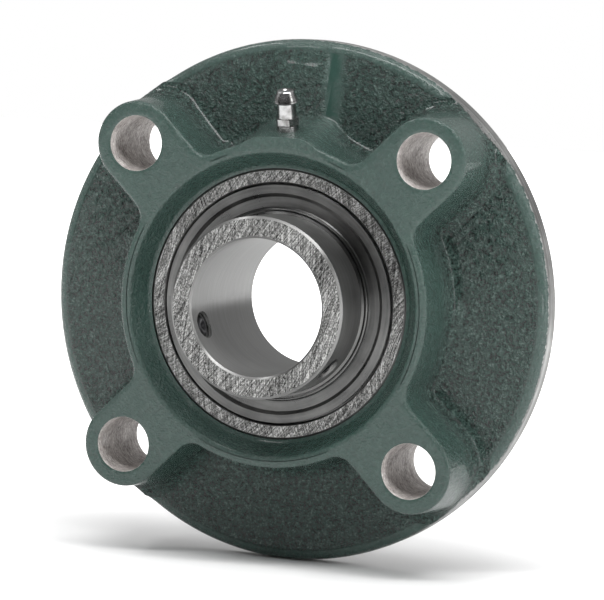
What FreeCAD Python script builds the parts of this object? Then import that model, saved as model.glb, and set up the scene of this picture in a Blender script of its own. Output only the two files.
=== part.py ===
"""Round four-bolt flange bearing unit for a 35 mm shaft.

A cast round flange housing holds a self-aligning ball bearing insert with a wide inner ring.

Frame: +Z is up (the grease nipple is at the top), the shaft runs along Y and the front of the
unit faces -Y. The origin is where the shaft axis crosses the mounting face. Heights above the
mounting face are measured towards the front, so a height w lies at y = -w.
"""
import FreeCAD, Part
import math
import os
import Sketcher

V = FreeCAD.Vector
FRONT = V(0, -1, 0)

doc = FreeCAD.newDocument("flange_bearing")
sheet = doc.addObject("Spreadsheet::Sheet", "dims")

DRIVING_DIMENSIONS = [
    # alias, millimetres or degrees or a count, what it is
    ("bore_dia", 35.0, "shaft bore"),
    ("flange_dia", 135.0, "outside of the round flange"),
    ("bolt_circle", 110.0, "pitch circle of the four bolt holes"),
    ("bolt_hole_dia", 14.0, "bolt hole for M12"),
    ("bolt_count", 4, "number of bolt holes"),
    ("rim_height", 6.0, "height of the turned rim"),
    ("web_height", 8.0, "height of the web beside the hub"),
    ("plateau_height", 26.0, "height of the hub and the four bosses"),
    ("spigot_dia", 90.0, "locating spigot behind the mounting face"),
    ("spigot_depth", 8.0, "length of the spigot"),
    ("hub_top_dia", 83.0, "outside of the hub at the plateau"),
    ("recess_dia", 77.0, "mouth of the conical recess in the hub"),
    ("recess_floor_dia", 71.0, "floor of the conical recess"),
    ("arm_half_width", 10.9, "half the width of an arm and radius of its boss, at the plateau"),
    ("draft_angle", 6.0, "draft of the cast walls, degrees"),
    ("bearing_height", 11.0, "centre of the bearing above the mounting face"),
    ("sphere_dia", 72.0, "spherical outside of the outer ring"),
    ("outer_width", 20.0, "width of the outer ring"),
    ("seat_play", 0.08, "radial clearance of the outer ring in its seat"),
    ("ring_length", 42.9, "length of the inner ring"),
    ("ring_back", 6.5, "how far the inner ring stands behind the mounting face"),
    ("inner_dia", 46.1, "outside of the inner ring"),
    ("ball_dia", 11.112, "rolling ball, 7/16 inch"),
    ("ball_count", 9, "number of balls"),
    ("pitch_dia", 53.5, "pitch circle of the balls"),
    ("race_play", 0.05, "radial clearance of a ball in each raceway"),
    ("outer_land_dia", 60.8, "inside of the outer ring beside its raceway"),
    ("outer_mouth_dia", 61.8, "inside of the outer ring at its faces"),
    ("seal_groove_dia", 63.4, "groove that holds a seal"),
    ("seal_height", 7.3, "seal groove from the bearing's centre"),
    ("seal_width", 1.2, "width of the seal groove"),
    ("lube_offset", 5.5, "lubrication groove from the bearing's centre"),
    ("lube_hole_dia", 1.8, "hole from the lubrication groove to the balls"),
    ("sheet_gauge", 0.7, "pressed steel sheet of the slingers"),
    ("cage_gauge", 0.9, "pressed steel sheet of the cage"),
    ("cage_play", 0.2, "clearance of a ball in its cage pocket"),
    ("screw_from_end", 7.0, "set screw axis from the front end of the inner ring"),
    ("thread_pitch", 1.0, "pitch of the set screw thread"),
    ("thread_minor_dia", 6.92, "crests of the tapped hole"),
    ("thread_major_dia", 8.0, "roots of the tapped hole"),
    ("thread_play", 0.08, "radial clearance of the set screw"),
    ("screw_length", 4.4, "length of a set screw"),
    ("screw_inner_end", 17.8, "distance of the set screw's point from the shaft axis"),
    ("nipple_tilt", 17.0, "forward lean of the grease nipple, degrees"),
    ("nipple_height", 19.3, "foot of the grease nipple above the mounting face"),
    ("nipple_radius", 44.4, "foot of the grease nipple from the shaft axis"),
    ("nipple_hex", 5.4, "across the flats of the grease nipple"),
    ("nipple_thread_dia", 5.2, "thread of the grease nipple"),
    ("nipple_length", 10.5, "grease nipple above its foot"),
]


class Size:
    """A number together with the sheet expression that it comes from."""

    def __init__(self, value, text):
        self.value = value
        self.text = text

    def __add__(self, other):
        other = as_size(other)
        return Size(self.value + other.value, f"({self.text} + {other.text})")

    def __sub__(self, other):
        other = as_size(other)
        return Size(self.value - other.value, f"({self.text} - {other.text})")

    def __mul__(self, factor):
        factor = as_size(factor)
        return Size(self.value * factor.value, f"({self.text} * {factor.text})")

    def __truediv__(self, divisor):
        divisor = as_size(divisor)
        return Size(self.value / divisor.value, f"({self.text} / {divisor.text})")

    def __neg__(self):
        return Size(-self.value, f"(0 - {self.text})")


def as_size(number):
    """Give a plain number the same form as a sheet value."""
    if isinstance(number, Size):
        return number
    return Size(float(number), repr(float(number)))


def root(number):
    """Square root of a size."""
    return Size(math.sqrt(number.value), f"sqrt({number.text})")


def tangent(angle):
    """Tangent of an angle given in degrees."""
    return Size(math.tan(math.radians(angle.value)), f"tan({angle.text} * 1 deg)")


def chord(radius, distance):
    """Half chord of a circle at a distance from its centre."""
    return root(radius * radius - distance * distance)


def fill_sheet():
    """Write the driving dimensions into the sheet and return them by name."""
    sizes = {}
    for row, (alias, number, meaning) in enumerate(DRIVING_DIMENSIONS, start=1):
        sheet.set(f"A{row}", alias)
        sheet.set(f"B{row}", str(number))
        sheet.set(f"C{row}", meaning)
        sheet.setAlias(f"B{row}", alias)
        sizes[alias] = Size(float(number), f"dims.{alias}")
    doc.recompute()
    return sizes


D = fill_sheet()


# ---------------------------------------------------------------------------
# Helpers for bodies, sketches and features
# ---------------------------------------------------------------------------

def direction(angle):
    """Unit vector at an angle from +X, counter-clockwise as seen from the front."""
    turn = math.radians(angle)
    return V(math.cos(turn), 0, math.sin(turn))


def new_body(name):
    body = doc.addObject("PartDesign::Body", name)
    body.Label = name
    return body


def origin_feature(body, role):
    for feature in body.Origin.OriginFeatures:
        if feature.Role == role:
            return feature
    raise ValueError(role)


def new_sketch(body, name, x_axis, y_axis, place=V()):
    """A sketch whose own axes and origin lie as given in the unit's frame."""
    sketch = body.newObject("Sketcher::SketchObject", name)
    sketch.AttachmentSupport = (origin_feature(body, "XY_Plane"), [""])
    sketch.MapMode = "FlatFace"
    turn = FreeCAD.Rotation(x_axis, y_axis, V(), "XYZ")
    sketch.AttachmentOffset = FreeCAD.Placement(place, turn)
    return sketch


def profile_sketch(body, name, angle=0.0):
    """A sketch for turned shapes: x is the radius, y the height above the mounting face."""
    return new_sketch(body, name, direction(angle), FRONT)


def face_sketch(body, name, height):
    """A sketch seen from the front, X to the right and Z up, at a height."""
    sketch = new_sketch(body, name, V(1, 0, 0), V(0, 0, 1), FRONT * height.value)
    sketch.setExpression("AttachmentOffset.Base.y", (-height).text)
    return sketch


def bind(sketch, kind, where, size):
    """Add a dimension to a sketch and tie it to the sheet."""
    index = sketch.addConstraint(Sketcher.Constraint(kind, *where, size.value))
    sketch.setExpression(f"Constraints[{index}]", size.text)


def pin_point(sketch, edge, end, x, y):
    """Fix one end of an edge at sheet values."""
    if x.value == 0:
        sketch.addConstraint(Sketcher.Constraint("PointOnObject", edge, end, -2))
    else:
        bind(sketch, "DistanceX", (-1, 1, edge, end), x)
    if y.value == 0:
        sketch.addConstraint(Sketcher.Constraint("PointOnObject", edge, end, -1))
    else:
        bind(sketch, "DistanceY", (-1, 1, edge, end), y)


def curved_edge(start, finish, radius, bulge):
    """Arc between two points that bulges to the left (+1) or right (-1) of the way."""
    chord_vector = finish - start
    half = chord_vector.Length / 2
    rise = radius - math.sqrt(radius * radius - half * half)
    left = V(-chord_vector.y, chord_vector.x, 0).normalize()
    middle = (start + finish) * 0.5 + left * (rise * bulge)
    return Part.Arc(start, middle, finish)


def draw(sketch, outline):
    """Draw a closed outline.

    Each corner is (x, y), or (x, y, radius, bulge) where the edge that leaves it is an arc.
    """
    corners = [tuple(as_size(number) for number in corner) for corner in outline]
    places = [V(corner[0].value, corner[1].value, 0) for corner in corners]
    ends = []
    for number, corner in enumerate(corners):
        start = places[number]
        finish = places[(number + 1) % len(places)]
        if len(corner) == 2:
            edge = sketch.addGeometry(Part.LineSegment(start, finish), False)
            first, last = 1, 2
        else:
            arc = curved_edge(start, finish, corner[2].value, corner[3].value)
            edge = sketch.addGeometry(arc, False)
            head = sketch.getPoint(edge, 1)
            forward = head.distanceToPoint(start) < head.distanceToPoint(finish)
            first, last = (1, 2) if forward else (2, 1)
        ends.append((edge, first, last))
    for number, (edge, first, _) in enumerate(ends):
        before, _, last = ends[number - 1]
        sketch.addConstraint(Sketcher.Constraint("Coincident", before, last, edge, first))
    for number, (edge, first, _) in enumerate(ends):
        pin_point(sketch, edge, first, corners[number][0], corners[number][1])
        if len(corners[number]) == 4:
            bind(sketch, "Radius", (edge,), corners[number][2])


def draw_circle(sketch, x, y, radius):
    x, y = as_size(x), as_size(y)
    circle = Part.Circle(V(x.value, y.value, 0), V(0, 0, 1), radius.value)
    edge = sketch.addGeometry(circle, False)
    pin_point(sketch, edge, 3, x, y)
    bind(sketch, "Radius", (edge,), radius)


def draw_hexagon(sketch, across_flats):
    """A hexagon about the sketch's origin with a corner on its x axis."""
    corner_radius = across_flats / math.sqrt(3)
    half_flat = across_flats / 2
    draw(sketch, [
        (corner_radius, 0),
        (corner_radius / 2, half_flat),
        (-corner_radius / 2, half_flat),
        (-corner_radius, 0),
        (-corner_radius / 2, -half_flat),
        (corner_radius / 2, -half_flat),
    ])


def turn_profile(body, name, sketch, axis="V_Axis", cut=False):
    kind = "PartDesign::Groove" if cut else "PartDesign::Revolution"
    feature = body.newObject(kind, name)
    feature.Profile = sketch
    feature.ReferenceAxis = (sketch, [axis])
    feature.Angle = 360
    body.Tip = feature
    return feature


def extrude(body, name, sketch, length, cut=False, backwards=False, both_ways=False):
    feature = body.newObject("PartDesign::Pocket" if cut else "PartDesign::Pad", name)
    feature.Profile = sketch
    feature.Length = length.value
    feature.setExpression("Length", length.text)
    feature.Reversed = backwards
    feature.Midplane = both_ways
    body.Tip = feature
    return feature


def pattern_about_shaft(body, name, feature, count):
    pattern = body.newObject("PartDesign::PolarPattern", name)
    pattern.Originals = [feature]
    pattern.Axis = (origin_feature(body, "Y_Axis"), [""])
    pattern.Angle = 360.0
    pattern.Occurrences = int(count.value)
    pattern.setExpression("Occurrences", count.text)
    body.Tip = pattern
    return pattern


def volume_after(body):
    doc.recompute()
    return body.Shape.Volume


def must_shrink(body, before, what):
    """Stop if a cut removed nothing."""
    after = volume_after(body)
    if after >= before - 1e-3:
        raise RuntimeError(f"{what} removed nothing")
    return after


# ---------------------------------------------------------------------------
# Heights and radii that several pieces share
# ---------------------------------------------------------------------------

centre = D["bearing_height"]
sphere_radius = D["sphere_dia"] / 2
seat_radius = sphere_radius + D["seat_play"]
half_outer = D["outer_width"] / 2
pitch_radius = D["pitch_dia"] / 2
ball_radius = D["ball_dia"] / 2
ring_front = D["ring_length"] - D["ring_back"]
screw_height = ring_front - D["screw_from_end"]
inner_radius = D["inner_dia"] / 2
SCREW_ANGLES = (-40.0, -160.0)
LUBE_HOLE_ANGLE = 60.0
FIRST_ARM_ANGLE = 45.0
ARM_ROOT_RADIUS = 39.8


# ---------------------------------------------------------------------------
# Cast housing
# ---------------------------------------------------------------------------

SEAT_FRONT = 9.5
RECESS_FLOOR = 10.4
RIM_CROWN_WIDTH = 2.0
RIM_CROWN_RISE = 1.2
RIM_BEVEL = 0.5
SPIGOT_BEVEL = 0.8
BACK_MOUTH_RADIUS = 37.4
BACK_THROAT_RADIUS = 35.6
BACK_THROAT_GAP = 0.6
ARM_OVERLAP = 1.5
PAD_WIDTH = 11.0
LAND_HALF_WIDTH = 6.5
LAND_START = 42.0
LAND_END = 64.8
LAND_DEPTH = 2.0
LAND_RISE = 1.4
SLOT_PLAY = 0.3
GREASE_HOLE_DEPTH = 6.4
GREASE_DRILL_RADIUS = 1.25
GREASE_DRILL_DEPTH = 9.6
GREASE_DRILL_CONE = 0.8
THREAD_PLAY = 0.05
CLEAR = 2.0


def housing_base(body):
    """Turned outline of the flange, hub, spigot, spherical seat and front recess."""
    plateau = D["plateau_height"]
    web = D["web_height"]
    rim = D["flange_dia"] / 2
    spigot = D["spigot_dia"] / 2
    back = -D["spigot_depth"]
    hub_top = D["hub_top_dia"] / 2
    sketch = profile_sketch(body, "housing_outline")
    draw(sketch, [
        (chord(seat_radius, half_outer), centre - half_outer, seat_radius, -1),
        (chord(seat_radius, as_size(SEAT_FRONT)), centre + SEAT_FRONT),
        (D["recess_floor_dia"] / 2, centre + RECESS_FLOOR),
        (D["recess_dia"] / 2, plateau),
        (hub_top, plateau),
        (hub_top + (plateau - web) * tangent(D["draft_angle"]), web),
        (rim - RIM_CROWN_WIDTH, D["rim_height"] + RIM_CROWN_RISE),
        (rim, D["rim_height"]),
        (rim, RIM_BEVEL),
        (rim - RIM_BEVEL, 0),
        (spigot, 0),
        (spigot, back + SPIGOT_BEVEL),
        (spigot - SPIGOT_BEVEL, back),
        (as_size(BACK_MOUTH_RADIUS), back),
        (as_size(BACK_THROAT_RADIUS), centre - half_outer - BACK_THROAT_GAP),
    ])
    return turn_profile(body, "flange_and_hub", sketch)


def housing_arm(body):
    """One drafted arm that carries a bolt boss."""
    half = D["arm_half_width"]
    boss = D["bolt_circle"] / 2
    turn = direction(FIRST_ARM_ANGLE)
    sketch = new_sketch(body, "arm_outline", turn, FRONT.cross(turn), FRONT * D["plateau_height"].value)
    sketch.setExpression("AttachmentOffset.Base.y", (-D["plateau_height"]).text)
    draw(sketch, [
        (ARM_ROOT_RADIUS, half),
        (ARM_ROOT_RADIUS, -half),
        (boss, -half, half, -1),
        (boss + half, 0, half, -1),
        (boss, half),
    ])
    arm = extrude(body, "arm", sketch, D["plateau_height"] - D["web_height"] + ARM_OVERLAP,
                  backwards=True)
    arm.TaperAngle = D["draft_angle"].value
    arm.setExpression("TaperAngle", D["draft_angle"].text)
    return arm


def housing_nipple_pad(body):
    """Leaning pad on the hub for the grease nipple, and the raised land below it on the web."""
    sketch = new_sketch(body, "nipple_pad_outline", FRONT, V(0, 0, 1))
    foot = D["web_height"] - 1.0
    lean = tangent(D["nipple_tilt"])
    draw(sketch, [
        (D["plateau_height"], ARM_ROOT_RADIUS),
        (D["plateau_height"], D["nipple_radius"] - (D["plateau_height"] - D["nipple_height"]) * lean),
        (foot, D["nipple_radius"] - (foot - D["nipple_height"]) * lean),
        (foot, ARM_ROOT_RADIUS),
    ])
    extrude(body, "nipple_pad", sketch, as_size(PAD_WIDTH), both_ways=True)
    land = face_sketch(body, "land_outline", D["web_height"] - LAND_DEPTH)
    draw(land, [
        (-LAND_HALF_WIDTH, LAND_START),
        (LAND_HALF_WIDTH, LAND_START),
        (LAND_HALF_WIDTH, LAND_END),
        (-LAND_HALF_WIDTH, LAND_END),
    ])
    extrude(body, "web_land", land, as_size(LAND_DEPTH + LAND_RISE))


def housing_cuts(body):
    """Turned outside, bolt holes, loading slots and the tapped grease hole."""
    volume = volume_after(body)
    rim = D["flange_dia"] / 2
    sketch = profile_sketch(body, "turned_outside")
    draw(sketch, [
        (rim, -CLEAR),
        (rim * 1.2, -CLEAR),
        (rim * 1.2, D["plateau_height"] + CLEAR),
        (rim, D["plateau_height"] + CLEAR),
    ])
    turn_profile(body, "turn_outside", sketch, cut=True)
    volume = must_shrink(body, volume, "turning the outside")

    holes = face_sketch(body, "bolt_hole_outline", as_size(0))
    boss = D["bolt_circle"] / 2
    draw_circle(holes, boss * math.cos(math.radians(FIRST_ARM_ANGLE)),
                boss * math.sin(math.radians(FIRST_ARM_ANGLE)), D["bolt_hole_dia"] / 2)
    hole = extrude(body, "bolt_hole", holes, D["flange_dia"], cut=True, both_ways=True)
    pattern_about_shaft(body, "bolt_holes", hole, D["bolt_count"])
    volume = must_shrink(body, volume, "drilling the bolt holes")

    slots = face_sketch(body, "loading_slot_outline", centre)
    half_slot = half_outer + SLOT_PLAY
    reach = chord(seat_radius, half_slot)
    draw(slots, [
        (reach, -half_slot, seat_radius, -1),
        (reach, half_slot),
        (-reach, half_slot, seat_radius, -1),
        (-reach, -half_slot),
    ])
    extrude(body, "loading_slots", slots, centre + D["spigot_depth"] + CLEAR, cut=True)
    if volume_after(body) >= volume - 1e-3:
        body.Tip.Reversed = True
    volume = must_shrink(body, volume, "cutting the loading slots")

    grease = new_sketch(body, "grease_hole_outline", *nipple_axes(), nipple_foot())
    bind_nipple_foot(grease)
    tapped = D["nipple_thread_dia"] / 2 + THREAD_PLAY
    draw(grease, [
        (0, CLEAR),
        (tapped, CLEAR),
        (tapped, -GREASE_HOLE_DEPTH),
        (GREASE_DRILL_RADIUS, -GREASE_HOLE_DEPTH - GREASE_DRILL_CONE),
        (GREASE_DRILL_RADIUS, -GREASE_DRILL_DEPTH),
        (0, -GREASE_DRILL_DEPTH),
    ])
    turn_profile(body, "grease_hole", grease, cut=True)
    must_shrink(body, volume, "drilling the grease hole")


def nipple_axis():
    """The grease nipple's axis, leaning from +Z towards the front."""
    lean = math.radians(D["nipple_tilt"].value)
    return V(0, -math.sin(lean), math.cos(lean))


def nipple_axes():
    return V(1, 0, 0), nipple_axis()


def nipple_foot():
    return V(0, -D["nipple_height"].value, D["nipple_radius"].value)


def bind_nipple_foot(item, prefix="AttachmentOffset"):
    """Tie the place of a piece that stands at the nipple's foot to the sheet."""
    item.setExpression(f"{prefix}.Base.y", (-D["nipple_height"]).text)
    item.setExpression(f"{prefix}.Base.z", D["nipple_radius"].text)


def make_housing():
    body = new_body("housing")
    housing_base(body)
    before = volume_after(body)
    arm = housing_arm(body)
    pattern_about_shaft(body, "arms", arm, D["bolt_count"])
    if volume_after(body) <= before:
        raise RuntimeError("the arms added nothing")
    housing_nipple_pad(body)
    housing_cuts(body)
    return body


# ---------------------------------------------------------------------------
# Rings of the bearing insert
# ---------------------------------------------------------------------------

RING_BEVEL = 0.5
RING_EDGE = 0.6
MOUTH_BEVEL = 0.3
LUBE_GROOVE_HALF = 1.2
LUBE_GROOVE_DEPTH = 1.1
OUTER_CONFORMITY = 0.52
INNER_CONFORMITY = 0.515
BORE_BEVEL = 0.5
TAPPED_START = 0.55
TAPPED_END = 0.5
TAPPED_BEVEL = 0.6


def make_outer_ring():
    """Outer ring: spherical outside, deep raceway, seal grooves and a lubrication groove."""
    body = new_body("outer_ring")
    side = half_outer - RING_BEVEL
    face = chord(sphere_radius, side)
    lube_top = D["lube_offset"] + LUBE_GROOVE_HALF
    lube_low = D["lube_offset"] - LUBE_GROOVE_HALF
    lube_floor = sphere_radius - LUBE_GROOVE_DEPTH
    race_radius = D["ball_dia"] * OUTER_CONFORMITY
    race_floor = pitch_radius + ball_radius + D["race_play"]
    land = D["outer_land_dia"] / 2
    race_half = chord(race_radius, land - (race_floor - race_radius))
    groove = D["seal_groove_dia"] / 2
    mouth = D["outer_mouth_dia"] / 2
    inner = D["seal_height"]
    outer = D["seal_height"] + D["seal_width"]
    sketch = profile_sketch(body, "ring_outline")
    draw(sketch, [
        (face, centre - side, sphere_radius, -1),
        (chord(sphere_radius, lube_low), centre + lube_low),
        (lube_floor, centre + lube_low),
        (lube_floor, centre + lube_top),
        (chord(sphere_radius, lube_top), centre + lube_top, sphere_radius, -1),
        (face, centre + side),
        (face - RING_EDGE, centre + half_outer),
        (mouth + MOUTH_BEVEL, centre + half_outer),
        (mouth, centre + half_outer - MOUTH_BEVEL),
        (mouth, centre + outer),
        (groove, centre + outer),
        (groove, centre + inner),
        (land, centre + inner),
        (land, centre + race_half, race_radius, 1),
        (land, centre - race_half),
        (land, centre - inner),
        (groove, centre - inner),
        (groove, centre - outer),
        (mouth, centre - outer),
        (mouth, centre - half_outer + MOUTH_BEVEL),
        (mouth + MOUTH_BEVEL, centre - half_outer),
        (face - RING_EDGE, centre - half_outer),
    ])
    turn_profile(body, "ring", sketch)
    volume = volume_after(body)
    turn = direction(LUBE_HOLE_ANGLE)
    height = centre + D["lube_offset"]
    hole = new_sketch(body, "lube_hole_outline", turn, FRONT, FRONT * height.value)
    hole.setExpression("AttachmentOffset.Base.y", (-height).text)
    radius = D["lube_hole_dia"] / 2
    hole_start = land - CLEAR
    draw(hole, [
        (hole_start, 0),
        (sphere_radius, 0),
        (sphere_radius, radius),
        (hole_start, radius),
    ])
    turn_profile(body, "lube_hole", hole, axis="H_Axis", cut=True)
    must_shrink(body, volume, "drilling the lubrication hole")
    return body


THREAD_CREST = 0.12
THREAD_FLANK_END = 0.5
THREAD_ROOT_END = 0.62


def thread_outline(start, finish, crest, valley):
    """Corners of a row of thread ridges along x, from start to finish."""
    pitch = D["thread_pitch"]
    count = int((finish.value - start.value) / pitch.value)
    corners = []
    for number in range(count):
        foot = start + pitch * number
        corners.append((foot, crest))
        corners.append((foot + pitch * THREAD_CREST, crest))
        corners.append((foot + pitch * THREAD_FLANK_END, valley))
        corners.append((foot + pitch * THREAD_ROOT_END, valley))
    corners.append((start + pitch * count, crest))
    return corners


def make_inner_ring():
    """Wide inner ring: shaft bore, raceway and two tapped set screw holes."""
    body = new_body("inner_ring")
    bore = D["bore_dia"] / 2
    race_radius = D["ball_dia"] * INNER_CONFORMITY
    race_floor = pitch_radius - ball_radius - D["race_play"]
    race_half = chord(race_radius, race_floor + race_radius - inner_radius)
    back = -D["ring_back"]
    sketch = profile_sketch(body, "ring_outline")
    draw(sketch, [
        (bore, back + BORE_BEVEL),
        (bore + BORE_BEVEL, back),
        (inner_radius - RING_EDGE, back),
        (inner_radius, back + RING_EDGE),
        (inner_radius, centre - race_half, race_radius, 1),
        (inner_radius, centre + race_half),
        (inner_radius, ring_front - RING_EDGE),
        (inner_radius - RING_EDGE, ring_front),
        (bore + BORE_BEVEL, ring_front),
        (bore, ring_front - BORE_BEVEL),
    ])
    turn_profile(body, "ring", sketch)
    crest = D["thread_minor_dia"] / 2
    valley = D["thread_major_dia"] / 2
    for number, angle in enumerate(SCREW_ANGLES, start=1):
        volume = volume_after(body)
        hole = new_sketch(body, f"tapped_hole_{number}_outline", direction(angle), FRONT,
                          FRONT * screw_height.value)
        hole.setExpression("AttachmentOffset.Base.y", (-screw_height).text)
        threads = thread_outline(bore - TAPPED_START, inner_radius - TAPPED_END, crest, valley)
        draw(hole, [
            (bore - CLEAR, 0),
            (bore - CLEAR, crest),
            *threads,
            (inner_radius - TAPPED_BEVEL, crest),
            (inner_radius + TAPPED_BEVEL, crest + TAPPED_BEVEL * 2),
            (inner_radius + TAPPED_BEVEL, 0),
        ])
        turn_profile(body, f"tapped_hole_{number}", hole, axis="H_Axis", cut=True)
        must_shrink(body, volume, "tapping a set screw hole")
    return body


# ---------------------------------------------------------------------------
# Balls and cage
# ---------------------------------------------------------------------------

def ball_angle(number):
    """Where a ball sits on the pitch circle, in degrees."""
    return 90.0 + number * 360.0 / D["ball_count"].value


def put_on_pitch_circle(item, number, seam):
    """Place a sphere on the balls' pitch circle, its poles on the radius, its seam as given."""
    outward = direction(ball_angle(number))
    turn = FreeCAD.Rotation(seam, V(), outward, "ZXY")
    item.Placement = FreeCAD.Placement(outward * pitch_radius.value + FRONT * centre.value, turn)
    angle = f"(90 + {number} * 360 / dims.ball_count)"
    item.setExpression("Placement.Base.x", f"{pitch_radius.text} * cos({angle} * 1 deg)")
    item.setExpression("Placement.Base.y", (-centre).text)
    item.setExpression("Placement.Base.z", f"{pitch_radius.text} * sin({angle} * 1 deg)")


def new_primitive(kind, name, **sizes):
    """A Part primitive whose sizes are tied to the sheet."""
    item = doc.addObject(f"Part::{kind}", name)
    for key, size in sizes.items():
        size = as_size(size)
        setattr(item, key, size.value)
        item.setExpression(key, size.text)
    return item


def make_balls():
    balls = []
    for number in range(int(D["ball_count"].value)):
        ball = new_primitive("Sphere", f"ball_{number + 1}", Radius=ball_radius)
        put_on_pitch_circle(ball, number, FRONT)
        ball.Label = f"ball_{number + 1}"
        balls.append(ball)
    return balls


def shaft_cylinder(name, radius, low, high):
    """A cylinder about the shaft axis between two heights."""
    low, high = as_size(low), as_size(high)
    item = new_primitive("Cylinder", name, Radius=radius, Height=high - low)
    item.Placement = FreeCAD.Placement(FRONT * low.value, FreeCAD.Rotation(V(0, 0, 1), FRONT))
    item.setExpression("Placement.Base.y", (-low).text)
    return item


def boolean(kind, name, base, tool):
    item = doc.addObject(f"Part::{kind}", name)
    item.Base = base
    item.Tool = tool
    return item


def fuse(name, items):
    item = doc.addObject("Part::MultiFuse", name)
    item.Shapes = items
    return item


CAGE_INNER_RADIUS = 24.6
CAGE_OUTER_RADIUS = 29.0
RIVET_RADIUS = 0.8
RIVET_HEAD_RADIUS = 1.4
RIVET_HEAD_HEIGHT = 0.6
RIVET_HOLE_PLAY = 0.03
RIVET_HOLE_REACH = 3.0
CAGE_MARGIN = 1.0


def make_cage_half(name, side):
    """Half of a pressed ribbon cage: flat lands between nine ball pockets."""
    gauge = D["cage_gauge"]
    pocket = ball_radius + D["cage_play"]
    reach = pocket + gauge
    count = int(D["ball_count"].value)
    if side > 0:
        low, land_high = centre, centre + gauge
        near, far = centre, centre + reach + CAGE_MARGIN
    else:
        low, land_high = centre - gauge, centre
        near, far = centre - reach - CAGE_MARGIN, centre
    land = shaft_cylinder(f"{name}_land", CAGE_OUTER_RADIUS, low, land_high)
    domes = []
    pockets = []
    for number in range(count):
        dome = new_primitive("Sphere", f"{name}_dome_{number + 1}", Radius=reach)
        put_on_pitch_circle(dome, number, FRONT * -side)
        domes.append(dome)
        hollow = new_primitive("Sphere", f"{name}_pocket_{number + 1}", Radius=pocket)
        put_on_pitch_circle(hollow, number, FRONT * -side)
        pockets.append(hollow)
        rivet_hole = shaft_cylinder(f"{name}_rivet_hole_{number + 1}", RIVET_RADIUS + RIVET_HOLE_PLAY,
                                    centre - RIVET_HOLE_REACH, centre + RIVET_HOLE_REACH)
        move_between_balls(rivet_hole, number, centre - RIVET_HOLE_REACH)
        pockets.append(rivet_hole)
    blank = fuse(f"{name}_blank", [land, *domes])
    outside = shaft_cylinder(f"{name}_outside", CAGE_OUTER_RADIUS, near, far)
    inside = shaft_cylinder(f"{name}_inside", CAGE_INNER_RADIUS, near, far)
    ring = boolean("Cut", f"{name}_ring", outside, inside)
    shell = boolean("Common", f"{name}_shell", blank, ring)
    tools = fuse(f"{name}_tools", pockets)
    half = boolean("Cut", name, shell, tools)
    half.Label = name
    return half


def move_between_balls(item, number, low):
    """Move a cylinder from the shaft axis to midway between two balls."""
    half_step = 180.0 / D["ball_count"].value
    turn = math.radians(ball_angle(number) + half_step)
    item.Placement = FreeCAD.Placement(V(pitch_radius.value * math.cos(turn), -low.value,
                                         pitch_radius.value * math.sin(turn)),
                                       FreeCAD.Rotation(V(0, 0, 1), FRONT))
    angle = f"(90 + ({number} + 0.5) * 360 / dims.ball_count)"
    item.setExpression("Placement.Base.x", f"{pitch_radius.text} * cos({angle} * 1 deg)")
    item.setExpression("Placement.Base.y", (-low).text)
    item.setExpression("Placement.Base.z", f"{pitch_radius.text} * sin({angle} * 1 deg)")


def make_cage_rivets():
    """Nine rivets that hold the two cage halves together."""
    gauge = D["cage_gauge"]
    rivets = []
    for number in range(int(D["ball_count"].value)):
        low = centre - gauge - RIVET_HEAD_HEIGHT
        high = centre + gauge
        shank = shaft_cylinder(f"rivet_{number + 1}_shank", RIVET_RADIUS, low, high + RIVET_HEAD_HEIGHT)
        move_between_balls(shank, number, low)
        back_head = shaft_cylinder(f"rivet_{number + 1}_back", RIVET_HEAD_RADIUS, low, centre - gauge)
        move_between_balls(back_head, number, low)
        front_head = shaft_cylinder(f"rivet_{number + 1}_front", RIVET_HEAD_RADIUS, high,
                                    high + RIVET_HEAD_HEIGHT)
        move_between_balls(front_head, number, high)
        rivets.append(fuse(f"rivet_{number + 1}", [shank, back_head, front_head]))
    group = doc.addObject("Part::Compound", "cage_rivets")
    group.Links = rivets
    group.Label = "cage_rivets"
    return group


# ---------------------------------------------------------------------------
# Seals and slingers, front (side +1) and back (side -1)
# ---------------------------------------------------------------------------

SEAL_LIP_BORE = 23.35
SEAL_BOND_RADIUS = 26.2
SEAL_SHEET = 0.6
SEAL_PLAY = 0.1
SEAL_ROLL = 0.4
LIP_ROOT_RADIUS = 24.5
LIP_NECK_RADIUS = 23.9
LIP_EDGE = 0.3
LIP_RISE = 0.5


def at(side, offset):
    """Height at an offset from the bearing's centre, towards the front or the back."""
    offset = as_size(offset)
    return centre + offset if side > 0 else centre - offset


def make_seal_core(name, side):
    """Pressed steel disc snapped into the outer ring's groove, with a rolled edge."""
    body = new_body(name)
    low = D["seal_height"] + SEAL_PLAY
    high = low + SEAL_SHEET
    edge = D["seal_groove_dia"] / 2 - SEAL_PLAY
    sketch = profile_sketch(body, "core_outline")
    draw(sketch, [
        (as_size(SEAL_BOND_RADIUS), at(side, low)),
        (edge, at(side, low)),
        (edge, at(side, high + SEAL_ROLL)),
        (edge - SEAL_SHEET, at(side, high + SEAL_ROLL)),
        (edge - SEAL_SHEET - SEAL_ROLL, at(side, high)),
        (as_size(SEAL_BOND_RADIUS), at(side, high)),
    ])
    turn_profile(body, "core", sketch)
    return body


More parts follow.
